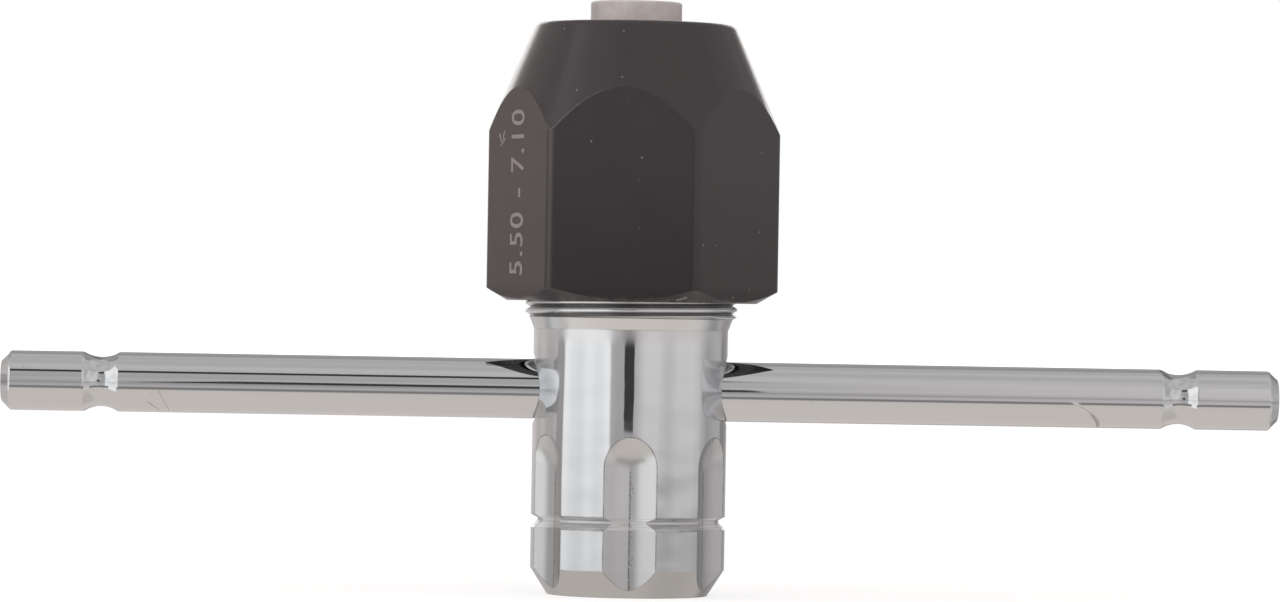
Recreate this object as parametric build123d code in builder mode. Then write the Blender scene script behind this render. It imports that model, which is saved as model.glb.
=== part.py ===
from build123d import *
from math import cos, radians, sin, sqrt, tan
import os

os.makedirs("parts", exist_ok=True)

# Tap adapter with a hex collet nut, a sliding cross bar and a fluted drive end.
# It stands on its drive end: +Z is the tap axis, the bar lies along X, and the
# origin is the centre of the end face. Lengths are in millimetres.

# Clearances
running_clearance = 0.08
thread_clearance = 0.06
cone_clearance = 0.1
contact_gap = 0.04
cut_overrun = 1.0

# Barrel, from the end face upwards
barrel_radius = 10.18
barrel_length = 46.0
foot_radius = 8.4
foot_chamfer_height = 2.77
relief_height = 1.2
thread_radius = 11.1
thread_length = 16.75
thread_pitch = 25.4 / 30
thread_depth = 0.46
thread_runout = 0.25
thread_lead_in = 0.8
seat_mouth_radius = 8.85
bore_web = 2.9

# Retaining groove round the drive end
ring_groove_height = 7.72
ring_groove_depth = 0.7
ring_groove_floor = 0.25
ring_groove_rise = 0.37
ring_groove_fall = 0.72

# Drive flutes
flute_count = 6
flute_depth = 1.28
flute_crease_end = 13.4
flute_wall_radius = 6.6
flute_wall_arc = 42
flute_crease_slope = 5.7

# Cross bar
bar_radius = 3.175
bar_length = 133.85
bar_offset = 1.12
bar_end_chamfer = 0.95
bar_end_edge_radius = 0.3
bar_hole_chamfer = 0.42
bar_groove_inset = 10.44
bar_groove_depth = 0.55
bar_groove_radius = 3.1
bar_groove_edge_radius = 0.4

# Ball detent that holds the bar
wire_sides = 8
ball_radius = 2.778
detent_wire_radius = 0.4
detent_coil_radius = 2.2
detent_coil_turns = 5
screw_radius = 3.97
screw_length = 5.0
screw_recess = 0.6
screw_socket_size = 3.97
screw_socket_depth = 2.6
screw_edge_chamfer = 0.4

# Collet
tip_radius = 4.79
tip_length = 4.7
tip_stand_out = 2.3
tip_edge_radius = 0.25
tip_mouth_chamfer = 0.4
collet_radius = 8.5
collet_band_height = 1.6
collet_tail_radius = 5.9
collet_tail_length = 6.5
collet_bore_radius = 3.6
collet_cone_angle = 22
square_size = 5.4
square_depth = 8.5
square_pilot_radius = 2.6
slit_width = 0.8
slit_web = 3.5

# Nut
nut_across_flats = 26.81
nut_corner_radius = 1.0
nut_height = 29.15
nut_yaw = -5.6
nose_radius = 10.41
nose_angle = 23.2
nose_edge_radius = 0.7
nut_face_radius = 13.1
nut_face_chamfer_angle = 30
nut_mouth_chamfer = 0.5
turned_margin = 3.0
closing_turns = 1.5
nut_end_gap = 0.5

# Collet spring
return_wire_radius = 0.45
return_coil_radius = 4.85
return_coil_turns = 3.5
return_spring_length = 6.1

# Places that follow from the sizes above, from the barrel's mouth up and down
closing_travel = closing_turns * thread_pitch
cone_slope = tan(radians(collet_cone_angle))
cone_radial_gap = cone_clearance / cos(radians(collet_cone_angle))
cone_axial_gap = cone_clearance / sin(radians(collet_cone_angle))
tail_bore_radius = collet_tail_radius + running_clearance
seat_bottom = barrel_length - (seat_mouth_radius - tail_bore_radius) / cone_slope
tail_top = seat_bottom + closing_travel + cone_axial_gap - running_clearance / cone_slope
band_bottom = tail_top + (collet_radius - collet_tail_radius) / cone_slope
band_top = band_bottom + collet_band_height
tip_bottom = band_top + (collet_radius - tip_radius) / cone_slope
tip_top = tip_bottom + tip_length
collet_bottom = tail_top - collet_tail_length
bore_floor = collet_bottom - return_spring_length
bar_hole_radius = bar_radius + running_clearance
bar_height = bore_floor - bore_web - bar_hole_radius
thread_bottom = barrel_length - thread_length
relief_top = thread_bottom - thread_runout
shank_top = relief_top - relief_height
groove_floor_top = ring_groove_height + ring_groove_floor
ball_bore_radius = ball_radius + running_clearance
ball_height = bar_height - bar_radius - ball_radius - contact_gap
screw_top = screw_recess + screw_length
nut_top = tip_top - tip_stand_out
nut_bottom = nut_top - nut_height
nut_bore_radius = thread_radius + thread_clearance
foot_chamfer_top = nut_bottom + turned_margin * tan(radians(nut_face_chamfer_angle))
nose_cone_bottom = nut_top - (nut_face_radius + turned_margin - nose_radius) / tan(radians(nose_angle))
nose_hole_radius = tip_radius + cone_radial_gap
cavity_radius = collet_radius + cone_radial_gap
cavity_top = tip_bottom - (cavity_radius - nose_hole_radius) / cone_slope
thread_relief_top = barrel_length + closing_travel + nut_end_gap


# Cutter for one flute: two concave walls that meet in a crease, with a round upper end
with BuildPart() as flute_cutter:
    crease_radius = barrel_radius - flute_depth
    with BuildSketch(Plane.XY.offset(flute_crease_end)) as half_section:
        with BuildLine():
            crease = (0, crease_radius)
            slope = radians(flute_crease_slope)
            wall = JernArc(crease, (cos(slope), sin(slope)), flute_wall_radius, flute_wall_arc)
            rim = wall @ 1
            Polyline(rim, (rim.X, rim.Y + flute_depth), (0, rim.Y + flute_depth), crease)
        make_face()
    revolve(axis=Axis((0, 0, flute_crease_end), (0, -1, 0)), revolution_arc=180)
    with BuildSketch(Plane.XY.offset(flute_crease_end)):
        add(half_section.sketch)
        mirror(about=Plane.YZ)
    extrude(amount=-flute_crease_end - cut_overrun)


# Barrel: turned body, collet seat, cross hole, detent bore, groove and flutes
with BuildPart() as barrel:
    with BuildSketch(Plane.XZ):
        with BuildLine():
            Polyline(
                (0, 0),
                (foot_radius, 0),
                (barrel_radius, foot_chamfer_height),
                (barrel_radius, shank_top),
                (thread_radius - thread_depth, relief_top),
                (thread_radius, thread_bottom),
                (thread_radius, barrel_length - thread_lead_in),
                (thread_radius - thread_lead_in, barrel_length),
                (seat_mouth_radius, barrel_length),
                (tail_bore_radius, seat_bottom),
                (tail_bore_radius, bore_floor),
                (0, bore_floor),
                close=True,
            )
        make_face()
    revolve(axis=Axis.Z)
    with BuildSketch(Plane.YZ.offset(-barrel_radius)):
        with Locations((0, bar_height)):
            Circle(bar_hole_radius)
    extrude(amount=2 * barrel_radius, mode=Mode.SUBTRACT)
    chamfer(barrel.edges(Select.LAST), length=bar_hole_chamfer)
    with BuildSketch(Plane.XY):
        Circle(ball_bore_radius)
    extrude(amount=bar_height, mode=Mode.SUBTRACT)
    with BuildSketch(Plane.XY):
        Circle(screw_radius + contact_gap)
    extrude(amount=screw_top + contact_gap, mode=Mode.SUBTRACT)
    with BuildSketch(Plane.XZ):
        with BuildLine():
            Polyline(
                (barrel_radius + cut_overrun, ring_groove_height - ring_groove_fall),
                (barrel_radius, ring_groove_height - ring_groove_fall),
                (barrel_radius - ring_groove_depth, ring_groove_height),
                (barrel_radius - ring_groove_depth, groove_floor_top),
                (barrel_radius, groove_floor_top + ring_groove_rise),
                (barrel_radius + cut_overrun, groove_floor_top + ring_groove_rise),
                close=True,
            )
        make_face()
    revolve(axis=Axis.Z, mode=Mode.SUBTRACT)
    with PolarLocations(0, flute_count):
        add(flute_cutter.part, mode=Mode.SUBTRACT)

barrel.part.label = "barrel"
export_step(barrel.part, "parts/barrel.step")


# Collet: one piece, split from both ends, round in front and square behind
with BuildPart() as collet:
    with BuildSketch(Plane.XZ):
        with BuildLine():
            Polyline(
                (square_pilot_radius, collet_bottom),
                (collet_tail_radius, collet_bottom),
                (collet_tail_radius, tail_top),
                (collet_radius, band_bottom),
                (collet_radius, band_top),
                (tip_radius, tip_bottom),
                (tip_radius, tip_top),
                (collet_bore_radius + tip_mouth_chamfer, tip_top),
                (collet_bore_radius, tip_top - tip_mouth_chamfer),
                (collet_bore_radius, collet_bottom + square_depth),
                (square_pilot_radius, collet_bottom + square_depth),
                close=True,
            )
        make_face()
    revolve(axis=Axis.Z)
    tip_edge = collet.edges().group_by(Axis.Z)[-1].sort_by(SortBy.RADIUS)[-1]
    fillet(tip_edge, radius=tip_edge_radius)
    with BuildSketch(Plane.XY.offset(collet_bottom)):
        Rectangle(square_size, square_size)
    extrude(amount=square_depth, mode=Mode.SUBTRACT)
    with BuildSketch(Plane.XY.offset(collet_bottom + slit_web)):
        Rectangle(2 * (collet_radius + cut_overrun), slit_width)
    extrude(amount=tip_top - collet_bottom, mode=Mode.SUBTRACT)
    with BuildSketch(Plane.XY.offset(tip_bottom - slit_web)):
        Rectangle(slit_width, 2 * (collet_radius + cut_overrun))
    extrude(amount=-tip_top, mode=Mode.SUBTRACT)

collet.part.label = "collet"
export_step(collet.part, "parts/collet.step")


# Collet nut: hexagon turned to a cone at the nose and chamfered at the foot
with BuildPart() as collet_nut:
    with BuildSketch(Plane.XY.offset(nut_bottom)) as hexagon:
        RegularPolygon(nut_across_flats / 2, 6, major_radius=False, rotation=nut_yaw)
        fillet(hexagon.vertices(), radius=nut_corner_radius)
    extrude(amount=nut_height)
    with BuildSketch(Plane.XZ):
        with BuildLine():
            Polyline(
                (0, nut_bottom),
                (nut_face_radius, nut_bottom),
                (nut_face_radius + turned_margin, foot_chamfer_top),
                (nut_face_radius + turned_margin, nose_cone_bottom),
                (nose_radius, nut_top),
                (0, nut_top),
                close=True,
            )
        make_face()
    revolve(axis=Axis.Z, mode=Mode.INTERSECT)
    nose_edge = collet_nut.edges().group_by(Axis.Z)[-1].sort_by(SortBy.RADIUS)[-1]
    fillet(nose_edge, radius=nose_edge_radius)
    with BuildSketch(Plane.XZ):
        with BuildLine():
            Polyline(
                (0, nut_bottom),
                (nut_bore_radius + nut_mouth_chamfer, nut_bottom),
                (nut_bore_radius, nut_bottom + nut_mouth_chamfer),
                (nut_bore_radius, thread_relief_top),
                (cavity_radius, thread_relief_top),
                (cavity_radius, cavity_top),
                (nose_hole_radius, tip_bottom),
                (nose_hole_radius, nut_top),
                (0, nut_top),
                close=True,
            )
        make_face()
    revolve(axis=Axis.Z, mode=Mode.SUBTRACT)

collet_nut.part.label = "collet_nut"
export_step(collet_nut.part, "parts/collet_nut.step")


# Cross bar: round bar with chamfered ends and a detent groove near each
bar_plane = Plane(origin=(bar_offset, 0, bar_height), x_dir=(1, 0, 0), z_dir=(0, -1, 0))
bar_axis = Axis((bar_offset, 0, bar_height), (1, 0, 0))
with BuildPart() as cross_bar:
    with BuildSketch(bar_plane):
        with BuildLine():
            Polyline(
                (-bar_length / 2, 0),
                (-bar_length / 2, bar_radius - bar_end_chamfer),
                (-bar_length / 2 + bar_end_chamfer, bar_radius),
                (bar_length / 2 - bar_end_chamfer, bar_radius),
                (bar_length / 2, bar_radius - bar_end_chamfer),
                (bar_length / 2, 0),
                close=True,
            )
        make_face()
    revolve(axis=bar_axis)
    fillet(cross_bar.edges().filter_by(GeomType.CIRCLE), radius=bar_end_edge_radius)
    groove_centre = bar_radius - bar_groove_depth + bar_groove_radius
    with BuildSketch(bar_plane):
        with Locations((0, groove_centre)):
            with GridLocations(bar_length - 2 * bar_groove_inset, 1, 2, 1):
                Circle(bar_groove_radius)
    revolve(axis=bar_axis, mode=Mode.SUBTRACT)
    groove_edges = cross_bar.edges(Select.LAST).filter_by(GeomType.CIRCLE)
    fillet(groove_edges.sort_by(SortBy.RADIUS)[-4:], radius=bar_groove_edge_radius)

cross_bar.part.label = "cross_bar"
export_step(cross_bar.part, "parts/cross_bar.step")


# Detent: a ball under the bar, pushed up by a spring on a socket screw
with BuildPart() as detent_ball:
    with Locations((0, 0, ball_height)):
        Sphere(ball_radius)

detent_ball.part.label = "detent_ball"
export_step(detent_ball.part, "parts/detent_ball.step")

with BuildPart() as detent_screw:
    with BuildSketch(Plane.XY.offset(screw_recess)):
        Circle(screw_radius)
    extrude(amount=screw_length)
    chamfer(detent_screw.edges().filter_by(GeomType.CIRCLE), length=screw_edge_chamfer)
    with BuildSketch(Plane.XY.offset(screw_recess)):
        RegularPolygon(screw_socket_size / 2, 6, major_radius=False)
    extrude(amount=screw_socket_depth, mode=Mode.SUBTRACT)

detent_screw.part.label = "detent_screw"
export_step(detent_screw.part, "parts/detent_screw.step")

coil_reach = sqrt((ball_radius + detent_wire_radius + contact_gap) ** 2 - detent_coil_radius**2)
detent_coil_bottom = screw_top + detent_wire_radius + contact_gap
detent_coil_height = ball_height - coil_reach - detent_coil_bottom
with BuildPart() as detent_spring:
    with BuildLine() as detent_coil:
        Helix(
            pitch=detent_coil_height / detent_coil_turns,
            height=detent_coil_height,
            radius=detent_coil_radius,
            center=(0, 0, detent_coil_bottom),
        )
    with BuildSketch(Plane(origin=detent_coil.line @ 0, z_dir=detent_coil.line % 0)):
        RegularPolygon(detent_wire_radius, wire_sides)
    sweep(is_frenet=True)

detent_spring.part.label = "detent_spring"
export_step(detent_spring.part, "parts/detent_spring.step")


# Collet spring: lifts the collet off its seat when the nut is slackened
return_coil_bottom = bore_floor + return_wire_radius + contact_gap
return_coil_top = collet_bottom - return_wire_radius - contact_gap
return_coil_height = return_coil_top - return_coil_bottom
with BuildPart() as collet_spring:
    with BuildLine() as return_coil:
        Helix(
            pitch=return_coil_height / return_coil_turns,
            height=return_coil_height,
            radius=return_coil_radius,
            center=(0, 0, return_coil_bottom),
        )
    with BuildSketch(Plane(origin=return_coil.line @ 0, z_dir=return_coil.line % 0)):
        RegularPolygon(return_wire_radius, wire_sides)
    sweep(is_frenet=True)

collet_spring.part.label = "collet_spring"
export_step(collet_spring.part, "parts/collet_spring.step")
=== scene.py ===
from math import atan2, cos, pi, radians, sin

import bpy
from mathutils import Matrix, Vector


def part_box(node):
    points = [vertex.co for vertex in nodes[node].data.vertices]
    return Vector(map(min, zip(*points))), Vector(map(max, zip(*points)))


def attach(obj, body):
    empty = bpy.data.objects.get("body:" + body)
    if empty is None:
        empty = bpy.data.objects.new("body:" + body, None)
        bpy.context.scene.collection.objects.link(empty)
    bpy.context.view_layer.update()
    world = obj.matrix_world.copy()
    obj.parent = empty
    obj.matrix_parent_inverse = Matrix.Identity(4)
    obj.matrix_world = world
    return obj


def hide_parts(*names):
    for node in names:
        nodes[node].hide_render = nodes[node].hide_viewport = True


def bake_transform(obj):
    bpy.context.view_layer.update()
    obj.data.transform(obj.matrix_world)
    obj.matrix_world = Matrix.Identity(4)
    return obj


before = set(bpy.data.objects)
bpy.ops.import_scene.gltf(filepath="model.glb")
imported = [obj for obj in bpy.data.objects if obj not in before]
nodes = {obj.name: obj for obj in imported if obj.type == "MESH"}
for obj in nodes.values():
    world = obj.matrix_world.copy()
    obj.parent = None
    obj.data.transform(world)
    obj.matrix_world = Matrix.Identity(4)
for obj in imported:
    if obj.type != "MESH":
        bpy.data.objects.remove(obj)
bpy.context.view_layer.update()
print("Frame loaded: tap adapter,", len(nodes), "CAD nodes")

# Tap adapter: black collet nut on a chromed barrel, with a sliding cross bar.
# Lengths are in metres, angles in degrees. Azimuth 0 is the front, towards -Y.


# Small helpers for shader trees

def setInputs(tree, node, values):
    # each value is a constant, or a socket to link
    for key, value in values.items():
        if isinstance(value, bpy.types.NodeSocket):
            tree.links.new(value, node.inputs[key])
        else:
            node.inputs[key].default_value = value


def addNode(tree, kind, inputs=(), **settings):
    node = tree.nodes.new("ShaderNode" + kind)
    for name, value in settings.items():
        setattr(node, name, value)
    setInputs(tree, node, dict(inputs))
    return node


def maths(tree, operation, *values, clamp=False):
    node = addNode(tree, "Math", dict(enumerate(values)), operation=operation, use_clamp=clamp)
    return node.outputs[0]


def combined(tree, operation, masks):
    whole = masks[0]
    for mask in masks[1:]:
        whole = maths(tree, operation, whole, mask)
    return whole


def product(tree, *masks):
    return combined(tree, "MULTIPLY", masks)


def strongest(tree, *masks):
    return combined(tree, "MAXIMUM", masks)


def mixTones(tree, factor, first, second, blend="MIX"):
    mixer = addNode(tree, "Mix", {0: factor}, data_type="RGBA", blend_type=blend)
    for key, value in ((6, first), (7, second)):
        isSocket = isinstance(value, bpy.types.NodeSocket)
        setInputs(tree, mixer, {key: value if isSocket else (*value, 1)})
    return mixer.outputs[2]


def remap(tree, value, low, high, newLow=0.0, newHigh=1.0, style="SMOOTHSTEP"):
    settings = {"Value": value, "From Min": low, "From Max": high, "To Min": newLow, "To Max": newHigh}
    return addNode(tree, "MapRange", settings, interpolation_type=style).outputs[0]


def grey(tree, value):
    return addNode(tree, "CombineColor", {0: value, 1: value, 2: value}).outputs[0]


def objectSpace(tree):
    return addNode(tree, "TexCoord").outputs["Object"]


def placeOf(tree):
    # x, y and z of the shaded point
    return addNode(tree, "SeparateXYZ", {0: objectSpace(tree)}).outputs


def distanceFromAxis(tree, place):
    squares = [maths(tree, "MULTIPLY", place[i], place[i]) for i in range(2)]
    return maths(tree, "SQRT", maths(tree, "ADD", *squares))


def reachTowards(tree, x, y):
    # how far the shaded point lies from the axis in a level direction
    direction = addNode(tree, "CombineXYZ", {0: x, 1: y}).outputs[0]
    settings = {0: objectSpace(tree), 1: direction}
    return addNode(tree, "VectorMath", settings, operation="DOT_PRODUCT").outputs["Value"]


def scaledSpace(tree, scales):
    settings = {0: objectSpace(tree), 1: scales}
    return addNode(tree, "VectorMath", settings, operation="MULTIPLY").outputs[0]


def noise(tree, vector, scale, detail=2.0, roughness=0.5):
    settings = {"Vector": vector, "Scale": scale, "Detail": detail, "Roughness": roughness}
    return addNode(tree, "TexNoise", settings).outputs[0]


def newGroup(name, inputs, output):
    # inputs is a name-to-value dictionary, output the name of the one result
    tree = bpy.data.node_groups.new(name, "ShaderNodeTree")
    for label, value in inputs.items():
        socket = tree.interface.new_socket(label, in_out="INPUT", socket_type="NodeSocketFloat")
        socket.default_value = value
    tree.interface.new_socket(output, in_out="OUTPUT", socket_type="NodeSocketFloat")
    given = tree.nodes.new("NodeGroupInput").outputs
    return tree, given, tree.nodes.new("NodeGroupOutput").inputs[output]


def useGroup(tree, group, **values):
    node = tree.nodes.new("ShaderNodeGroup")
    node.node_tree = group
    setInputs(tree, node, values)
    return node.outputs[0]


def newMaterial(name):
    material = bpy.data.materials.new(name)
    material.use_nodes = True
    return material, material.node_tree, material.node_tree.nodes["Principled BSDF"]


def addToScene(name, data):
    piece = bpy.data.objects.new(name, data)
    bpy.context.scene.collection.objects.link(piece)
    return piece


# Camera, placed from the photograph's perspective

cameraLook = {
    "distance": 0.6298,
    "lens": 168.8,
    "azimuth": 1.2,
    "roll": 0.98,
    "aimRight": 0.000885,
    "aimHeight": 0.03082,
    "clip": (0.01, 20),
}


def placeCamera():
    turn, roll = radians(cameraLook["azimuth"]), radians(cameraLook["roll"])
    forward = Vector((sin(turn), cos(turn), 0))
    right = Vector((cos(turn), -sin(turn), 0))
    up = Vector((0, 0, 1))
    aim = right * cameraLook["aimRight"] + up * cameraLook["aimHeight"]
    rolledRight = right * cos(roll) + up * sin(roll)
    rolledUp = up * cos(roll) - right * sin(roll)
    camera = addToScene("camera", bpy.data.cameras.new("camera"))
    camera.data.lens = cameraLook["lens"]
    camera.data.clip_start, camera.data.clip_end = cameraLook["clip"]
    turned = Matrix((rolledRight, rolledUp, -forward)).transposed().to_4x4()
    camera.matrix_world = Matrix.Translation(aim - forward * cameraLook["distance"]) @ turned
    bpy.context.scene.camera = camera


bpy.context.scene.view_settings.view_transform = "Standard"
placeCamera()
print("Camera placed")


# Studio: what the polished metal sees, written as soft panels on the sky by direction

studioLook = {
    "wall": (0.45, 0.435, 0.44),
    "wallGap": (0.29, 0.28, 0.28),
    "leftBack": (0.445, 0.425, 0.42),
    "rightWall": (0.555, 0.545, 0.545),
    "rightFoot": (0.46, 0.45, 0.45),
    "rightUpper": (0.40, 0.395, 0.395),
    "farRight": (0.35, 0.345, 0.345),
    "farDark": (0.22, 0.215, 0.215),
    "backWall": (0.30, 0.30, 0.30),
    "backGlow": (1.3, 1.3, 1.3),
    "leftPanel": (0.79, 0.80, 0.805),
    "overhead": (0.46, 0.45, 0.445),
    "frontWall": (0.405, 0.40, 0.40),
    "frontUpper": (0.352, 0.347, 0.343),
    "frontLine": (0.035, 0.033, 0.035),
    "tableEdge": (0.19, 0.185, 0.18),
    "tableNear": (0.525, 0.495, 0.465),
    "table": (0.535, 0.503, 0.472),
    "tableRight": (0.45, 0.425, 0.40),
    "brightness": (1.57, 1.53, 1.505),
    "plainLight": 1.11,
    "driftScale": 2.6,
    "driftRange": (0.3, 0.7),
    "unevenness": (0.88, 1.06),
    "horizonFall": 0.80,
    # elevations over which the horizon dims, brightens again lower down, and the drift ends
    "horizonBand": (-3.4, -0.4),
    "lowerBand": (-7.5, -3.6),
    "evenBand": (-20, -8),
    # colour, azimuths, elevations, softness; a later panel covers an earlier one
    "panels": (
        ("rightWall", (9, 92), (-40, 80), 6),
        ("rightFoot", (9, 92), (-19, -2.0), 0.4),
        ("rightUpper", (50, 92), (5, 46), 2.5),
        ("farRight", (100, 300), (-40, 45), 3),
        ("farDark", (136, 158), (-40, 45), 3),
        ("backGlow", (160, 300), (5, 28), 2.5),
        ("leftBack", (-150, -104), (-40, 45), 3),
        ("backGlow", (-300, -152), (5, 28), 2.5),
        ("wallGap", (-98, -86), (-40, 14), 1.5),
        ("leftPanel", (-85, -24), (-38, 70), 1.5),
        ("frontWall", (-24, 2.8), (-40, 48), 2.5),
        ("frontUpper", (-24, 2.8), (14, 48), 3),
        ("overhead", (-300, 300), (42, 120), 2),
        ("backWall", (115, 300), (28, 64), 3),
        ("backWall", (-300, -115), (28, 64), 3),
        ("frontLine", (-24, 2.5), (34.4, 42.4), 0.8),
        ("tableEdge", (-40, 40), (-28, -19), 1.5),
        ("tableNear", (-300, 300), (-120, -30), 2),
        ("table", (-300, 300), (-120, -45), 9),
        ("tableRight", (48, 130), (-75, -38), 14),
    ),
}


def panel(tree, azimuth, elevation, wide, high, softness):
    # mask of a soft-edged panel between two azimuths and two elevations
    masks = []
    for value, (low, top) in ((azimuth, wide), (elevation, high)):
        masks.append(remap(tree, value, low - softness, low + softness))
        masks.append(remap(tree, value, top - softness, top + softness, 1, 0))
    return product(tree, *masks)


def unevenLight(tree, sky, elevation):
    # slow drift of the walls' brightness, which ends above the table
    look = studioLook
    spots = noise(tree, sky, look["driftScale"], detail=0)
    drift = remap(tree, spots, *look["driftRange"], *look["unevenness"])
    fall = remap(tree, elevation, *look["horizonBand"], look["horizonFall"], 1)
    lower = remap(tree, elevation, *look["lowerBand"], 1, 0)
    drift = product(tree, drift, strongest(tree, fall, lower))
    even = remap(tree, elevation, *look["evenBand"], 1, 0)
    return maths(tree, "ADD", product(tree, drift, maths(tree, "SUBTRACT", 1, even)), even)


def buildStudio():
    world = bpy.data.worlds.new("studio")
    bpy.context.scene.world = world
    world.use_nodes = True
    tree = world.node_tree
    tree.nodes.clear()
    sky = addNode(tree, "TexCoord").outputs["Generated"]
    direction = addNode(tree, "SeparateXYZ", {0: sky}).outputs
    backwards = maths(tree, "MULTIPLY", direction[1], -1)
    azimuth = maths(tree, "DEGREES", maths(tree, "ARCTAN2", direction[0], backwards))
    elevation = maths(tree, "DEGREES", maths(tree, "ARCSINE", direction[2]))

    tone = addNode(tree, "RGB").outputs[0]
    tone.default_value = (*studioLook["wall"], 1)
    for name, wide, high, softness in studioLook["panels"]:
        mask = panel(tree, azimuth, elevation, wide, high, softness)
        tone = mixTones(tree, mask, tone, studioLook[name])
    drift = unevenLight(tree, sky, elevation)
    tone = mixTones(tree, 1, tone, grey(tree, drift), blend="MULTIPLY")
    tone = mixTones(tree, 1, tone, studioLook["brightness"], blend="MULTIPLY")

    path = addNode(tree, "LightPath").outputs
    strength = remap(tree, path["Is Diffuse Ray"], 0, 1, 1, studioLook["plainLight"], style="LINEAR")
    backdrop = mixTones(tree, path["Is Camera Ray"], tone, (1, 1, 1))
    shader = addNode(tree, "Background", {"Color": backdrop, "Strength": strength})
    output = tree.nodes.new("ShaderNodeOutputWorld")
    tree.links.new(shader.outputs[0], output.inputs[0])


buildStudio()


# Dark card round the lens, seen only as the black line in the chrome

cardLook = {
    "distance": 0.64,
    "outline": (
        (-0.094, 0.013), (-0.083, 0.0040), (0.036, 0.0040),
        (0.041, 0.012), (0.038, 0.100), (-0.070, 0.105),
    ),
    "tone": (0.066, 0.063, 0.063),
}


def buildLensCard():
    points = [(x, -cardLook["distance"], z) for x, z in cardLook["outline"]]
    mesh = bpy.data.meshes.new("lensCard")
    mesh.from_pydata(points, [], [list(range(len(points)))])
    card = addToScene("lensCard", mesh)
    material = bpy.data.materials.new("cardCloth")
    material.use_nodes = True
    tree = material.node_tree
    tree.nodes.clear()
    glow = addNode(tree, "Emission", {"Color": (*cardLook["tone"], 1)})
    output = tree.nodes.new("ShaderNodeOutputMaterial")
    tree.links.new(glow.outputs[0], output.inputs[0])
    mesh.materials.append(material)
    card.visible_camera = card.visible_diffuse = card.visible_shadow = False


buildLensCard()


# Floor: pale, white to the eye, and it keeps the object's soft shadow

floorLook = {"size": 6.0, "paper": (0.5, 0.5, 0.5), "glow": 0.67}


def buildFloor():
    half = floorLook["size"] / 2
    mesh = bpy.data.meshes.new("floor")
    corners = [(-half, -half, 0), (half, -half, 0), (half, half, 0), (-half, half, 0)]
    mesh.from_pydata(corners, [], [(0, 1, 2, 3)])
    floor = addToScene("floor", mesh)
    material, tree, paper = newMaterial("floorPaper")
    paper.inputs["Base Color"].default_value = (*floorLook["paper"], 1)
    paper.inputs["Roughness"].default_value = 1
    paper.inputs["Specular IOR Level"].default_value = 0
    paper.inputs["Emission Color"].default_value = (1, 1, 1, 1)
    seen = addNode(tree, "LightPath").outputs["Is Camera Ray"]
    tree.links.new(product(tree, seen, floorLook["glow"]), paper.inputs["Emission Strength"])
    mesh.materials.append(material)
    floor.visible_glossy = False


buildFloor()
print("Studio and floor built")


# Shared effects, each a node group that one or more finishes use

def makeMottle():
    tree, given, result = newGroup("mottle", {"Scale": 400, "Contrast": 0.2}, "Mask")
    blotches = noise(tree, objectSpace(tree), given["Scale"], detail=3, roughness=0.6)
    low = maths(tree, "SUBTRACT", 0.5, given["Contrast"])
    high = maths(tree, "ADD", 0.5, given["Contrast"])
    tree.links.new(remap(tree, blotches, low, high), result)
    return tree


def makeSpecks():
    tree, given, result = newGroup("specks", {"Scale": 300, "Size": 0.1, "Share": 0.3}, "Mask")
    settings = {"Vector": objectSpace(tree), "Scale": given["Scale"]}
    cells = addNode(tree, "TexVoronoi", settings).outputs
    spot = remap(tree, cells["Distance"], 0, given["Size"], 1, 0)
    lot = addNode(tree, "SeparateColor", {0: cells["Color"]}).outputs[0]
    chosen = maths(tree, "LESS_THAN", lot, given["Share"])
    tree.links.new(product(tree, spot, chosen), result)
    return tree


def makeRoundedEdgeBand():
    # where a softly rounded normal leaves the face's own, in places
    settings = {"Radius": 0.0003, "Gain": 8, "Breaks": 600}
    tree, given, result = newGroup("roundedEdgeBand", settings, "Mask")
    rounded = addNode(tree, "Bevel", {"Radius": given["Radius"]}, samples=4).outputs[0]
    flat = addNode(tree, "NewGeometry").outputs["Normal"]
    turned = addNode(tree, "VectorMath", {0: rounded, 1: flat}, operation="DOT_PRODUCT")
    away = maths(tree, "SUBTRACT", 1, turned.outputs["Value"])
    edge = maths(tree, "MULTIPLY", away, given["Gain"], clamp=True)
    patchy = noise(tree, objectSpace(tree), given["Breaks"], detail=3)
    leastStrength = 0.55
    tree.links.new(product(tree, edge, remap(tree, patchy, 0.35, 0.65, leastStrength, 1)), result)
    return tree


def makeDrawnLines():
    # fine lines drawn out along the axis whose scale is smallest
    settings = {"AcrossX": 9000, "AcrossY": 9000, "AlongZ": 300}
    tree, given, result = newGroup("drawnLines", settings, "Height")
    scales = addNode(tree, "CombineXYZ", {i: given[name] for i, name in enumerate(settings)})
    lines = noise(tree, scaledSpace(tree, scales.outputs[0]), 1, detail=4, roughness=0.65)
    tree.links.new(lines, result)
    return tree


def makeCurvedScratch():
    # a thin bent scratch, given the two coordinates that span the surface
    settings = {"Along": 0, "Across": 0, "MiddleAlong": 0, "MiddleAcross": 0, "Slope": 0, "Bend": 0,
                "Length": 0.003, "Width": 0.0001}
    tree, given, result = newGroup("curvedScratch", settings, "Mask")
    run = maths(tree, "SUBTRACT", given["Along"], given["MiddleAlong"])
    offset = maths(tree, "SUBTRACT", given["Across"], given["MiddleAcross"])
    bend = product(tree, run, run, given["Bend"])
    path = maths(tree, "ADD", product(tree, run, given["Slope"]), bend)
    apart = maths(tree, "ABSOLUTE", maths(tree, "SUBTRACT", offset, path))
    line = remap(tree, apart, 0, given["Width"], 1, 0)
    # it fades out before each end, half a length from the middle
    share = maths(tree, "DIVIDE", maths(tree, "ABSOLUTE", run), given["Length"])
    fading = remap(tree, share, 0.35, 0.5, 1, 0)
    tree.links.new(product(tree, line, fading), result)
    return tree


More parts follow.
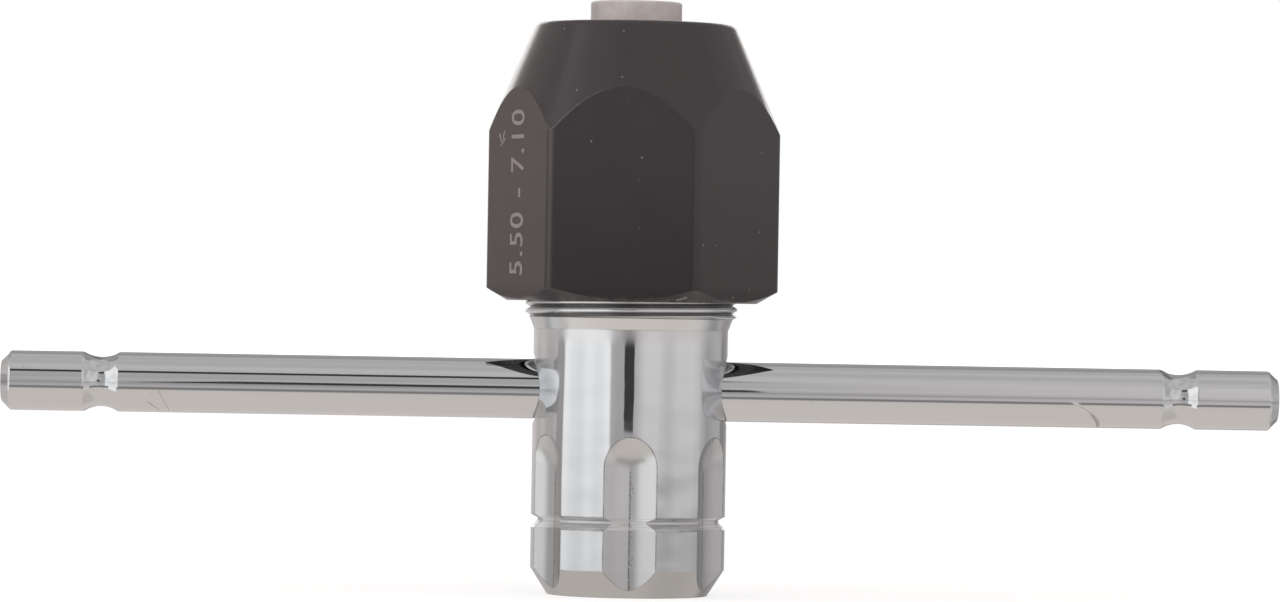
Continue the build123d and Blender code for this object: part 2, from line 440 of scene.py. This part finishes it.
mottle = makeMottle()
specks = makeSpecks()
roundedEdgeBand = makeRoundedEdgeBand()
drawnLines = makeDrawnLines()
curvedScratch = makeCurvedScratch()
print("Shared effects ready")


def scratched(tree, along, across, scratches):
    # each scratch: its middle along and across, slope, bend, length, width
    names = ("MiddleAlong", "MiddleAcross", "Slope", "Bend", "Length", "Width")
    masks = [useGroup(tree, curvedScratch, Along=along, Across=across, **dict(zip(names, scratch)))
             for scratch in scratches]
    return strongest(tree, *masks)


def addBump(tree, shader, height, look):
    # fine relief on top of softly rounded edges
    rounded = addNode(tree, "Bevel", {"Radius": look["edgeRadius"]}, samples=4).outputs[0]
    strength, depth = look["bump"]
    settings = {"Strength": strength, "Distance": depth, "Height": height, "Normal": rounded}
    tree.links.new(addNode(tree, "Bump", settings).outputs[0], shader.inputs["Normal"])


def paint(node, material):
    for slot in nodes[node].material_slots:
        slot.material = material


# Collet nut: satin black oxide with a brown mottle and a little dust; painted shade darkens its
# left-hand flat, and wear with a painted highlight lightens its front left edges

nutLook = {
    "black": (0.048, 0.039, 0.0435),
    "brown": (0.054, 0.0435, 0.0455),
    # painted shade: the left-hand flat is painted darker and browner
    "shadedFlat": (0.036, 0.020, 0.019),
    "underside": (0.14, 0.13, 0.14),
    "worn": (0.16, 0.14, 0.13),
    # real edge wear together with a painted highlight
    "wornEdgeAndHighlight": (0.25, 0.235, 0.24),
    "dust": (0.42, 0.40, 0.38),
    "blotches": {"Scale": 150, "Contrast": 0.38},
    "roughness": (0.22, 0.28),
    "dustRoughness": 0.3,
    "dustSpots": {"Scale": 620, "Size": 0.085, "Share": 0.5},
    "ior": 1.4,
    "oil": 0.20,
    "oilRoughness": 0.07,
    "edgeRadius": 0.00028,
    "edges": {"Gain": 16, "Breaks": 900},
    "grainScale": 14000,
    "bump": (0.25, 0.00001),
    # the left-hand flat: the way it faces, and just under its distance from the axis
    "facetTurn": -65.6,
    "flatReach": 0.01338,
    "flatBlur": 0.0001,
    # shade, oil, wear and underside, by heights above the foot
    "footShade": 0.62,
    "footShadeTop": 0.018,
    "oilHeights": (0.0004, 0.002),
    "wornFoot": 0.0007,
    "wornFootShare": 0.45,
    "wornFootPatches": {"Scale": 1500, "Contrast": 0.12},
    "undersideTop": 0.00003,
    # painted highlight on the turned corners by depth, and the share of wear and painted highlight on
    # all edges by x
    "stripHighlight": 0.22,
    "stripDepths": (0.00006, 0.00002),
    "wearAndHighlightFade": (-0.0048, -0.0005),
    "wearAndHighlightShares": (0.85, 0.05),
    "sideFade": (-0.0094, -0.0090),
    "sideShare": 0.3,
    # scuffs by height and along the flat, and a painted glint streak by x and height
    "scuffs": (
        (0.0476, -0.0044, -0.9, 900, 0.0011, 0.00020),
        (0.0472, -0.0037, 1.7, -700, 0.0009, 0.00018),
        (0.0479, -0.0036, 0.3, 400, 0.0011, 0.00016),
    ),
    "scuffsLeftOf": -0.009,
    "glintStreak": (0.0049, 0.0311, 0.25, 0, 0.0013, 0.00012),
}


def nutWearAndHighlight(tree, place, edges):
    # bare metal on worn edges, with a painted highlight on the edges and the turned corners, mostly at
    # the front's left
    turned = max(vertex.co.xy.length for vertex in nodes["collet_nut"].data.vertices)
    depths = [turned - depth for depth in nutLook["stripDepths"]]
    strip = remap(tree, distanceFromAxis(tree, place), *depths, 0, nutLook["stripHighlight"])
    share = remap(tree, place[0], *nutLook["wearAndHighlightFade"], *nutLook["wearAndHighlightShares"])
    side = remap(tree, place[0], *nutLook["sideFade"], nutLook["sideShare"], 1)
    return product(tree, strongest(tree, edges, strip), share, side)


def nutScuffsAndGlint(tree, place, flatTurn):
    sideways = reachTowards(tree, cos(flatTurn), sin(flatTurn))
    scuffs = scratched(tree, place[2], sideways, nutLook["scuffs"])
    onSide = maths(tree, "LESS_THAN", place[0], nutLook["scuffsLeftOf"])
    # painted glint: a light streak low on the front
    glintStreak = scratched(tree, place[0], place[2], [nutLook["glintStreak"]])
    inFront = maths(tree, "LESS_THAN", place[1], 0)
    return strongest(tree, product(tree, scuffs, onSide), product(tree, glintStreak, inFront))


def finishNut():
    material, tree, shader = newMaterial("blackOxide")
    shader.inputs["IOR"].default_value = nutLook["ior"]
    shader.inputs["Coat Roughness"].default_value = nutLook["oilRoughness"]
    place = placeOf(tree)
    flatTurn = radians(nutLook["facetTurn"])
    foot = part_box("collet_nut")[0].z

    blotches = useGroup(tree, mottle, **nutLook["blotches"])
    tone = mixTones(tree, blotches, nutLook["black"], nutLook["brown"])
    edges = useGroup(tree, roundedEdgeBand, Radius=nutLook["edgeRadius"], **nutLook["edges"])
    reach = reachTowards(tree, sin(flatTurn), -cos(flatTurn))
    onFlat = remap(tree, reach, nutLook["flatReach"] - nutLook["flatBlur"], nutLook["flatReach"])
    # painted shade: the left-hand flat, less its edges, is painted darker and browner
    shadedFlatMask = maths(tree, "SUBTRACT", onFlat, edges, clamp=True)
    tone = mixTones(tree, shadedFlatMask, tone, nutLook["shadedFlat"])
    # edge wear and a painted highlight, mostly at the front's left
    tone = mixTones(tree, nutWearAndHighlight(tree, place, edges), tone, nutLook["wornEdgeAndHighlight"])
    shade = remap(tree, place[2], foot, foot + nutLook["footShadeTop"], nutLook["footShade"], 1)
    tone = mixTones(tree, 1, tone, grey(tree, shade), blend="MULTIPLY")
    rim = remap(tree, place[2], foot, foot + nutLook["wornFoot"], nutLook["wornFootShare"], 0)
    patches = useGroup(tree, mottle, **nutLook["wornFootPatches"])
    tone = mixTones(tree, product(tree, rim, patches), tone, nutLook["worn"])
    under = maths(tree, "LESS_THAN", place[2], foot + nutLook["undersideTop"])
    tone = mixTones(tree, under, tone, nutLook["underside"])
    dust = useGroup(tree, specks, **nutLook["dustSpots"])
    # dust specks, scuffs and the painted glint streak, all in the dust tone
    marked = strongest(tree, dust, nutScuffsAndGlint(tree, place, flatTurn))
    tree.links.new(mixTones(tree, marked, tone, nutLook["dust"]), shader.inputs["Base Color"])

    oilFrom, oilTo = nutLook["oilHeights"]
    oiled = remap(tree, place[2], foot + oilFrom, foot + oilTo, 0, nutLook["oil"])
    tree.links.new(oiled, shader.inputs["Coat Weight"])
    gloss = remap(tree, blotches, 0, 1, *nutLook["roughness"])
    dusty = product(tree, dust, nutLook["dustRoughness"])
    tree.links.new(maths(tree, "ADD", gloss, dusty), shader.inputs["Roughness"])
    grain = noise(tree, objectSpace(tree), nutLook["grainScale"], detail=3, roughness=0.6)
    addBump(tree, shader, grain, nutLook)
    paint("collet_nut", material)


finishNut()


# Marking: a plain size range, etched up the left-hand flat

markLook = {
    "text": "5.50 - 7.10",
    "spacing": 1.12,
    "boldness": 0.007,
    "height": 0.0419,
    "letterHeight": 0.0032,
    "runLength": 0.0172,
    "relief": 0.00001,
    "etched": (0.42, 0.362, 0.354),
    "bare": (0.31, 0.268, 0.26),
    "blotches": {"Scale": 5000, "Contrast": 0.15},
    "roughness": (0.5, 0.7),
}


def etchMark():
    letters = bpy.data.curves.new("marking", "FONT")
    letters.body = markLook["text"]
    letters.align_x, letters.align_y = "CENTER", "CENTER"
    letters.space_character = markLook["spacing"]
    letters.offset = markLook["boldness"]
    # any depth will do, because it is scaled to the relief
    letters.extrude = 0.5
    shape = addToScene("lettersShape", letters)
    bpy.context.view_layer.update()
    solid = shape.evaluated_get(bpy.context.evaluated_depsgraph_get())
    mesh = bpy.data.meshes.new_from_object(solid)
    bpy.data.objects.remove(shape)
    corners = [v.co for v in mesh.vertices]
    low = Vector(min(c[i] for c in corners) for i in range(3))
    high = Vector(max(c[i] for c in corners) for i in range(3))
    middle, spread = (low + high) / 2, high - low
    turn = radians(nutLook["facetTurn"])
    outward = Vector((sin(turn), -cos(turn), 0))
    sideways = Vector((cos(turn), sin(turn), 0))
    facet = max(v.co.dot(outward) for v in nodes["collet_nut"].data.vertices)
    centre = outward * facet + Vector((0, 0, markLook["height"]))
    for vertex in mesh.vertices:
        share = [(vertex.co[i] - middle[i]) / spread[i] for i in range(3)]
        up = Vector((0, 0, 1)) * share[0] * markLook["runLength"]
        across = -sideways * share[1] * markLook["letterHeight"]
        vertex.co = centre + up + across + outward * share[2] * 2 * markLook["relief"]
    piece = addToScene("nut_marking", mesh)
    material, tree, shader = newMaterial("laserEtch")
    burnt = useGroup(tree, mottle, **markLook["blotches"])
    tone = mixTones(tree, burnt, markLook["etched"], markLook["bare"])
    tree.links.new(tone, shader.inputs["Base Color"])
    tree.links.new(remap(tree, burnt, 0, 1, *markLook["roughness"]), shader.inputs["Roughness"])
    mesh.materials.clear()
    mesh.materials.append(material)
    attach(piece, "nut")


etchMark()
print("Nut finished and marked")


# Collet: dull hardened steel with a faint pink-brown mottle

colletLook = {
    "steel": (0.735, 0.70, 0.69),
    "pink": (0.685, 0.60, 0.585),
    "leftShade": (0.53, 0.505, 0.483),
    "pit": (0.10, 0.09, 0.08),
    "metal": 0.2,
    "roughness": (0.38, 0.52),
    "blotches": {"Scale": 650, "Contrast": 0.22},
    "pits": {"Scale": 700, "Size": 0.10, "Share": 0.08},
    "ground": {"AcrossX": 1200, "AcrossY": 1200, "AlongZ": 16000},
    "edgeRadius": 0.00015,
    "bump": (0.3, 0.00002),
    # painted shade on the left side, fading from the left edge by x
    "leftShadeFade": (-0.0046, -0.0036),
    "leftShadeShare": 0.75,
}


def finishCollet():
    material, tree, shader = newMaterial("dullSteel")
    shader.inputs["Metallic"].default_value = colletLook["metal"]
    blotches = useGroup(tree, mottle, **colletLook["blotches"])
    tone = mixTones(tree, blotches, colletLook["steel"], colletLook["pink"])
    # painted shade: the left side darker
    leftSide = remap(tree, placeOf(tree)[0], *colletLook["leftShadeFade"], colletLook["leftShadeShare"], 0)
    tone = mixTones(tree, leftSide, tone, colletLook["leftShade"])
    pits = useGroup(tree, specks, **colletLook["pits"])
    tree.links.new(mixTones(tree, pits, tone, colletLook["pit"]), shader.inputs["Base Color"])
    gloss = remap(tree, blotches, 0, 1, *colletLook["roughness"])
    tree.links.new(gloss, shader.inputs["Roughness"])
    addBump(tree, shader, useGroup(tree, drawnLines, **colletLook["ground"]), colletLook)
    paint("collet", material)


finishCollet()


# Barrel: bright chrome outside, satin in the flutes, the groove and the end chamfer

barrelLook = {
    "chrome": (0.605, 0.62, 0.638),
    "satin": (0.592, 0.604, 0.611),
    "chamfer": (0.503, 0.513, 0.518),
    # painted shade: satin darker below the groove and on the right-hand flutes
    "satinShade": (0.52, 0.53, 0.536),
    # painted light: a lighter tone in the groove and above the shoulder
    "paintedLightTone": (0.69, 0.70, 0.71),
    # dark tone for grime in the groove, darker creases and thread roots, and painted shade along the
    # edges
    "grimeAndShade": (0.038, 0.036, 0.033),
    "grimeAndShadeShare": 0.8,
    "polish": (0.0245, 0.035),
    "polishBlotches": {"Scale": 260, "Contrast": 0.25},
    "satinRoughness": 0.27,
    "hazeRoughness": 0.24,
    "grooveRoughness": 0.45,
    "edgeRadius": 0.00014,
    "bump": (0.5, 0.00004),
    "waves": (210, 210, 330),
    "gritScale": 7000,
    "gritDepth": 0.06,
    # sizes of the CAD barrel, by radius and by height
    "radius": 0.01018,
    "chamferTop": 0.00277,
    "groove": (0.0070, 0.00834),
    "grooveBlur": 0.0001,
    "fluteTop": 0.0170,
    "fluteBlur": 0.0003,
    "insideDepths": (0.00012, 0.00003),
    "shoulder": (0.0252, 0.0276),
    "threadRoot": (0.01066, 0.01084),
    "satinShadeRight": (0.0055, 0.0065),
    "creases": {
        "width": 0.00016,
        "grit": (0.42, 0.56),
        "leastShare": 0.1,
        "spill": (0.0001, 0.0009),
        "spillShare": 0.55,
        "spillGrit": (0.52, 0.60),
        "radius": 0.00945,
        "depth": 0.0002,
        "foot": 0.0008,
        "top": 0.0134,
        "topFade": 0.0006,
    },
    "grooveDirt": {
        "lines": (300, 300, 9000),
        "lineRange": (0.4, 0.6),
        "lineShare": 0.25,
        "marks": {"Scale": 1800, "Size": 0.5, "Share": 0.12},
        # the marks lie this far under the groove's upper edge
        "markDepths": (0.0004, 0.0001),
    },
    "edges": {
        "bandLook": {"Radius": 0.00024, "Gain": 30, "Breaks": 900},
        # shares inside the flutes, at the end, at the shoulder and in the groove, none on the thread
        "outerRadii": (0.0094, 0.0099),
        "innerShare": 0.3,
        "endHeights": (0.0029, 0.0032),
        "endShare": 0.35,
        "shoulderHeights": (0.0268, 0.0272),
        "shoulderShare": 0.3,
        "threadFrom": 0.0285,
        "grooveShare": 0.4,
    },
}


def darkCreases(tree, place, radius, grit):
    # darker, speckled creases in the flutes, spreading a little to their right
    look = barrelLook["creases"]
    turn = maths(tree, "ARCTAN2", place[0], maths(tree, "MULTIPLY", place[1], -1))
    # degrees from the nearest crease, of which there is one every 60 degrees
    turn = maths(tree, "ADD", maths(tree, "DEGREES", turn), 30)
    fromCrease = maths(tree, "SUBTRACT", maths(tree, "FLOORED_MODULO", turn, 60), 30)
    sideways = product(tree, maths(tree, "SINE", maths(tree, "RADIANS", fromCrease)), radius)
    near = remap(tree, maths(tree, "ABSOLUTE", sideways), 0, look["width"], 1, 0)
    speckled = remap(tree, grit, *look["grit"], look["leastShare"], 1)
    spill = product(
        tree,
        remap(tree, sideways, *look["spill"], look["spillShare"], 0),
        remap(tree, sideways, 0, look["spill"][0]),
        remap(tree, grit, *look["spillGrit"]),
    )
    deep = remap(tree, radius, look["radius"], look["radius"] + look["depth"], 1, 0)
    low = remap(tree, place[2], look["top"] - look["topFade"], look["top"], 1, 0)
    aboveFoot = maths(tree, "GREATER_THAN", place[2], look["foot"])
    return product(tree, strongest(tree, product(tree, near, speckled), spill), deep, low, aboveFoot)


def soiledGroove(tree, z, groove):
    look = barrelLook["grooveDirt"]
    lines = noise(tree, scaledSpace(tree, look["lines"]), 1)
    lines = remap(tree, lines, *look["lineRange"], 0, look["lineShare"])
    grooveTop = barrelLook["groove"][1]
    upper = remap(tree, z, *(grooveTop - depth for depth in look["markDepths"]))
    marks = product(tree, useGroup(tree, specks, **look["marks"]), upper)
    return product(tree, groove, strongest(tree, lines, marks))


# painted shade: dark outlines along the edges, fainter inside the flutes, at the end, at the shoulder
# and in the groove, none on the thread
def shadedEdges(tree, z, radius, groove):
    look = barrelLook["edges"]
    outer = remap(tree, radius, *look["outerRadii"], look["innerShare"], 1)
    atEnd = maths(tree, "LESS_THAN", z, look["endHeights"][0])
    return product(
        tree,
        useGroup(tree, roundedEdgeBand, **look["bandLook"]),
        strongest(tree, outer, atEnd),
        remap(tree, z, *look["endHeights"], look["endShare"], 1),
        remap(tree, z, *look["shoulderHeights"], 1, look["shoulderShare"]),
        maths(tree, "LESS_THAN", z, look["threadFrom"]),
        remap(tree, groove, 0, 1, 1, look["grooveShare"]),
    )


# darker towards the thread's roots
def darkThreadRoots(tree, z, radius):
    root = remap(tree, radius, *barrelLook["threadRoot"], 1, 0)
    return product(tree, root, maths(tree, "GREATER_THAN", z, threadCut["bottom"]))


def finishBarrel():
    look = barrelLook
    material, tree, shader = newMaterial("barrelChrome")
    shader.inputs["Metallic"].default_value = 1
    place = placeOf(tree)
    z = place[2]
    radius = distanceFromAxis(tree, place)
    grit = noise(tree, objectSpace(tree), look["gritScale"], detail=4, roughness=0.7)

    inside = remap(tree, radius, *(look["radius"] - depth for depth in look["insideDepths"]), 1, 0)
    belowTop = remap(tree, z, look["fluteTop"], look["fluteTop"] + look["fluteBlur"], 1, 0)
    satin = product(tree, belowTop, inside)
    haze = remap(tree, z, *look["shoulder"])
    (grooveLow, grooveHigh), blur = look["groove"], look["grooveBlur"]
    groove = product(
        tree,
        remap(tree, z, grooveLow, grooveLow + blur),
        remap(tree, z, grooveHigh - blur, grooveHigh, 1, 0),
        inside,
    )
    # grime in the groove, darker creases and thread roots, and painted shade along the edges
    dirtAndShade = strongest(
        tree,
        darkCreases(tree, place, radius, grit),
        shadedEdges(tree, z, radius, groove),
        darkThreadRoots(tree, z, radius),
        soiledGroove(tree, z, groove),
    )

    # painted shade: satin darker below the groove and on the right
    belowGroove = remap(tree, z, grooveLow, grooveHigh, 1, 0)
    satinShade = strongest(tree, belowGroove, remap(tree, place[0], *look["satinShadeRight"]))
    satinTone = mixTones(tree, satinShade, look["satin"], look["satinShade"])
    tone = mixTones(tree, satin, look["chrome"], satinTone)
    # painted light: lighter in the groove and above the shoulder
    tone = mixTones(tree, strongest(tree, groove, haze), tone, look["paintedLightTone"])
    atEnd = maths(tree, "LESS_THAN", z, look["chamferTop"])
    tone = mixTones(tree, atEnd, tone, look["chamfer"])
    # grime, darker creases and thread roots, and painted edge shade, in one dark tone
    tone = mixTones(tree, product(tree, dirtAndShade, look["grimeAndShadeShare"]), tone, look["grimeAndShade"])
    tree.links.new(tone, shader.inputs["Base Color"])

    blotches = useGroup(tree, mottle, **look["polishBlotches"])
    polish = remap(tree, blotches, 0, 1, *look["polish"])
    rough = strongest(
        tree,
        remap(tree, satin, 0, 1, polish, look["satinRoughness"], style="LINEAR"),
        product(tree, haze, look["hazeRoughness"]),
        product(tree, groove, look["grooveRoughness"]),
    )
    tree.links.new(rough, shader.inputs["Roughness"])
    waves = noise(tree, scaledSpace(tree, look["waves"]), 1, detail=0.5)
    grain = product(tree, grit, satin, look["gritDepth"])
    addBump(tree, shader, maths(tree, "ADD", waves, grain), look)
    return material


# Thread: the CAD barrel's own surface, with its plain thread cylinder cut to a fine helix

threadCut = {
    "pitch": 0.0254 / 30,
    "depth": 0.00046,
    "runout": 0.00025,
    "leadIn": 0.0008,
    "bottom": 0.0290,
    # height of a crest at +X
    "crestAtRight": 0.03005,
    "columns": 144,
    # shares of a pitch, from the crest's middle
    "crestShare": 0.13,
    "rootShare": 0.06,
    "cornerShare": 0.015,
    "zipGap": 0.00002,
}


def threadRadius(turn, height, crest, top):
    # radius of the thread at an angle from +X, within the run-out and the lead-in
    phase = ((height - threadCut["crestAtRight"]) / threadCut["pitch"] - turn / (2 * pi)) % 1
    fromCrest = min(phase, 1 - phase)
    span = 0.5 - threadCut["crestShare"] - threadCut["rootShare"]
    fall = min(max((fromCrest - threadCut["crestShare"]) / span, 0), 1)
    cut = crest - threadCut["depth"] * fall
    rise = (height - threadCut["bottom"]) / threadCut["runout"]
    runout = crest - threadCut["depth"] * (1 - rise)
    leadIn = crest - threadCut["leadIn"] * (1 - (top - height) / threadCut["leadIn"])
    return min(cut, runout, leadIn)


def threadNormal(turn, height, crest, top):
    step = threadCut["pitch"] / 60
    above = threadRadius(turn, height + step, crest, top)
    below = threadRadius(turn, height - step, crest, top)
    slope = (above - below) / (2 * step)
    twist = -slope * threadCut["pitch"] / (2 * pi) / threadRadius(turn, height, crest, top)
    outward, sideways = Vector((cos(turn), sin(turn), 0)), Vector((-sin(turn), cos(turn), 0))
    return (outward - sideways * twist - Vector((0, 0, slope))).normalized()


def zipRings(lower, upper):
    # triangles between two closed rings, each a list of (angle, vertex) in order of angle
    triangles, i, j = [], 0, 0
    while i < len(lower) or j < len(upper):
        nextLow = lower[i + 1][0] if i + 1 < len(lower) else lower[0][0] + 2 * pi
        nextUp = upper[j + 1][0] if j + 1 < len(upper) else upper[0][0] + 2 * pi
        low, up = lower[i % len(lower)][1], upper[j % len(upper)][1]
        if j >= len(upper) or (i < len(lower) and nextLow <= nextUp):
            i += 1
            triangles.append((low, lower[i % len(lower)][1], up))
        else:
            j += 1
            triangles.append((low, upper[j % len(upper)][1], up))
    return triangles


def cutThread():
    cad = nodes["barrel"].data
    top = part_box("barrel")[1].z
    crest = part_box("barrel")[1].x
    inner = crest - threadCut["leadIn"]
    tiny = 1e-6
    weldSteps = 1e7
    flatEnd = 0.99
    points, lookup, faces, normals = [], {}, [], []

    def vertexAt(point):
        key = tuple(round(c * weldSteps) for c in point)
        if key not in lookup:
            lookup[key] = len(points)
            points.append(Vector(point))
        return lookup[key]

    def radiusOf(point):
        return (point[0] ** 2 + point[1] ** 2) ** 0.5

    def isThreadFace(polygon):
        corners = [cad.vertices[v].co for v in polygon.vertices]
        lowest = threadCut["bottom"] - tiny
        outside = all(radiusOf(c) > inner - tiny and c.z > lowest for c in corners)
        return outside and abs(polygon.normal.z) < flatEnd

    def addFace(corners, cornerNormals):
        kept = [k for k, corner in enumerate(corners) if corner not in corners[:k]]
        if len(kept) > 2:
            faces.append([corners[k] for k in kept])
            normals.extend(cornerNormals[k] for k in kept)

    for polygon in cad.polygons:
        if not isThreadFace(polygon):
            corners = [vertexAt(cad.vertices[v].co) for v in polygon.vertices]
            addFace(corners, [cad.corner_normals[i].vector.copy() for i in polygon.loop_indices])

    def cadRing(height, radius):
        found = [(atan2(p.y, p.x) % (2 * pi), v) for v, p in enumerate(points)
                 if abs(p.z - height) < tiny and abs(radiusOf(p) - radius) < 5 * tiny]
        return sorted(found)

    lowRing = cadRing(threadCut["bottom"], crest - threadCut["depth"])
    highRing = cadRing(top, inner)
    first, last = threadCut["bottom"] + threadCut["zipGap"], top - threadCut["zipGap"]
    crestEnd, rootStart = threadCut["crestShare"], 0.5 - threadCut["rootShare"]
    corner = threadCut["cornerShare"]
    bends = [0, crestEnd - corner, crestEnd + corner, rootStart - corner, rootStart + corner]
    phases = bends + [0.5] + [1 - phase for phase in reversed(bends[1:])]
    turnsBelow = int((threadCut["crestAtRight"] - first) / threadCut["pitch"]) + 2
    turnsAbove = int((last - threadCut["crestAtRight"]) / threadCut["pitch"]) + 2
    columns = threadCut["columns"]
    rows = (turnsBelow + turnsAbove) * len(phases)

    def threadPoint(turn, height):
        radius = threadRadius(turn, height, crest, top)
        return vertexAt((radius * cos(turn), radius * sin(turn), height))

    def gridPoint(column, row):
        turn = 2 * pi * column / columns
        share = column / columns + row // len(phases) - turnsBelow + phases[row % len(phases)]
        height = threadCut["crestAtRight"] + threadCut["pitch"] * share
        height = min(max(height, first), last)
        return threadPoint(turn, height), threadNormal(turn, height, crest, top)

    grid = [[gridPoint(column, row) for row in range(rows + 1)] for column in range(columns + 1)]
    for left, right in zip(grid, grid[1:]):
        for row in range(rows):
            quad = [left[row], right[row], right[row + 1], left[row + 1]]
            addFace([corner[0] for corner in quad], [corner[1] for corner in quad])

    def gridRing(height):
        turns = [2 * pi * column / columns for column in range(columns)]
        return [(turn, threadPoint(turn, height)) for turn in turns]

    for lower, upper in ((lowRing, gridRing(first)), (gridRing(last), highRing)):
        for triangle in zipRings(lower, upper):
            spots = [points[v] for v in triangle]
            flat = (spots[1] - spots[0]).cross(spots[2] - spots[0]).normalized()
            addFace(list(triangle), [flat] * 3)

    mesh = bpy.data.meshes.new("barrel_threaded")
    mesh.from_pydata(points, [], faces)
    mesh.shade_smooth()
    mesh.normals_split_custom_set(normals)
    mesh.materials.append(finishBarrel())
    piece = addToScene("barrel_threaded", mesh)
    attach(piece, "barrel")
    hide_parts("barrel")
    print("Barrel threaded:", len(faces), "faces, rings of", len(lowRing), "and", len(highRing))


cutThread()


# Cross bar: bright polished chrome with a few handling marks near the ends

barLook = {
    "chrome": (0.605, 0.62, 0.638),
    "shadedFlatMask": (0.85, 0.84, 0.82),
    "scratch": (0.16, 0.157, 0.153),
    "scratchShare": 0.7,
    "roughness": (0.012, 0.03),
    "blotches": {"Scale": 180, "Contrast": 0.2},
    "rubbedRoughness": 0.4,
    "rubbedMetal": 0.25,
    "pits": {"Scale": 900, "Size": 0.12, "Share": 0.03},
    "edgeRadius": 0.00010,
    "bump": (0.25, 0.00001),
    "waves": (120, 330, 330),
    # dark marks and light rubs, seen in front of this y, each by its height and x
    "frontFade": (-0.001, -0.0005),
    "marks": (
        (0.0190, -0.0498, -1.4, 0, 0.0011, 0.00012),
        (0.0196, -0.0487, -0.5, 0, 0.0026, 0.00005),
        (0.0185, 0.0492, 0, -510, 0.0052, 0.00011),
        (0.0189, 0.0489, -0.5, -400, 0.0020, 0.00020),
        (0.0241, -0.0562, -2.4, 0, 0.0008, 0.0006),
        (0.0240, 0.0561, -1.2, 0, 0.0011, 0.0004),
    ),
    "rubs": (
        (0.0198, -0.0504, -0.7, 0, 0.0019, 0.00042),
        (0.0206, 0.0470, -1.5, 0, 0.0012, 0.00060),
    ),
}


def finishBar():
    look = barLook
    material, tree, shader = newMaterial("barChrome")
    place = placeOf(tree)
    front = remap(tree, place[1], *look["frontFade"], 1, 0)
    darker, lighter = (product(tree, scratched(tree, place[2], place[0], look[name]), front)
                       for name in ("marks", "rubs"))
    metal = remap(tree, lighter, 0, 1, 1, look["rubbedMetal"], style="LINEAR")
    tree.links.new(metal, shader.inputs["Metallic"])
    pits = useGroup(tree, specks, **look["pits"])
    tone = mixTones(tree, lighter, look["chrome"], look["shadedFlatMask"])
    scratches = product(tree, strongest(tree, darker, pits), look["scratchShare"])
    tree.links.new(mixTones(tree, scratches, tone, look["scratch"]), shader.inputs["Base Color"])
    gloss = remap(tree, useGroup(tree, mottle, **look["blotches"]), 0, 1, *look["roughness"])
    gloss = strongest(tree, gloss, product(tree, lighter, look["rubbedRoughness"]))
    tree.links.new(gloss, shader.inputs["Roughness"])
    waves = noise(tree, scaledSpace(tree, look["waves"]), 1, detail=0.5)
    addBump(tree, shader, waves, look)
    paint("cross_bar", material)


finishBar()
print("Barrel and bar finished")


# Hidden pieces: ball, springs and socket screw

smallLooks = {
    "ballSteel": {
        "nodes": ["detent_ball"],
        "light": (0.66, 0.66, 0.67), "dark": (0.55, 0.55, 0.56),
        "metal": 1.0, "roughness": (0.08, 0.14),
    },
    "springSteel": {
        "nodes": ["detent_spring", "collet_spring"],
        "light": (0.45, 0.44, 0.43), "dark": (0.30, 0.29, 0.27),
        "metal": 1.0, "roughness": (0.28, 0.42),
    },
    "screwBlack": {
        "nodes": ["detent_screw"],
        "light": (0.060, 0.052, 0.050), "dark": (0.030, 0.027, 0.027),
        "metal": 0.0, "roughness": (0.32, 0.48),
    },
}


def finishSmallParts():
    for name, look in smallLooks.items():
        material, tree, shader = newMaterial(name)
        shader.inputs["Metallic"].default_value = look["metal"]
        blotches = useGroup(tree, mottle, Scale=1200, Contrast=0.2)
        tone = mixTones(tree, blotches, look["light"], look["dark"])
        tree.links.new(tone, shader.inputs["Base Color"])
        gloss = remap(tree, blotches, 0, 1, *look["roughness"])
        tree.links.new(gloss, shader.inputs["Roughness"])
        for node in look["nodes"]:
            paint(node, material)


finishSmallParts()
print("Small parts finished")


# Collet spring: a copy of the CAD spring in its place, with the CAD spring hidden


def flexSpring():
    cad = nodes["collet_spring"]
    piece = addToScene("collet_spring_flexed", cad.data.copy())
    piece.data.materials.clear()
    piece.data.materials.append(cad.material_slots[0].material)
    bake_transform(piece)
    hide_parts("collet_spring")


flexSpring()
print("Collet spring set between its ends")
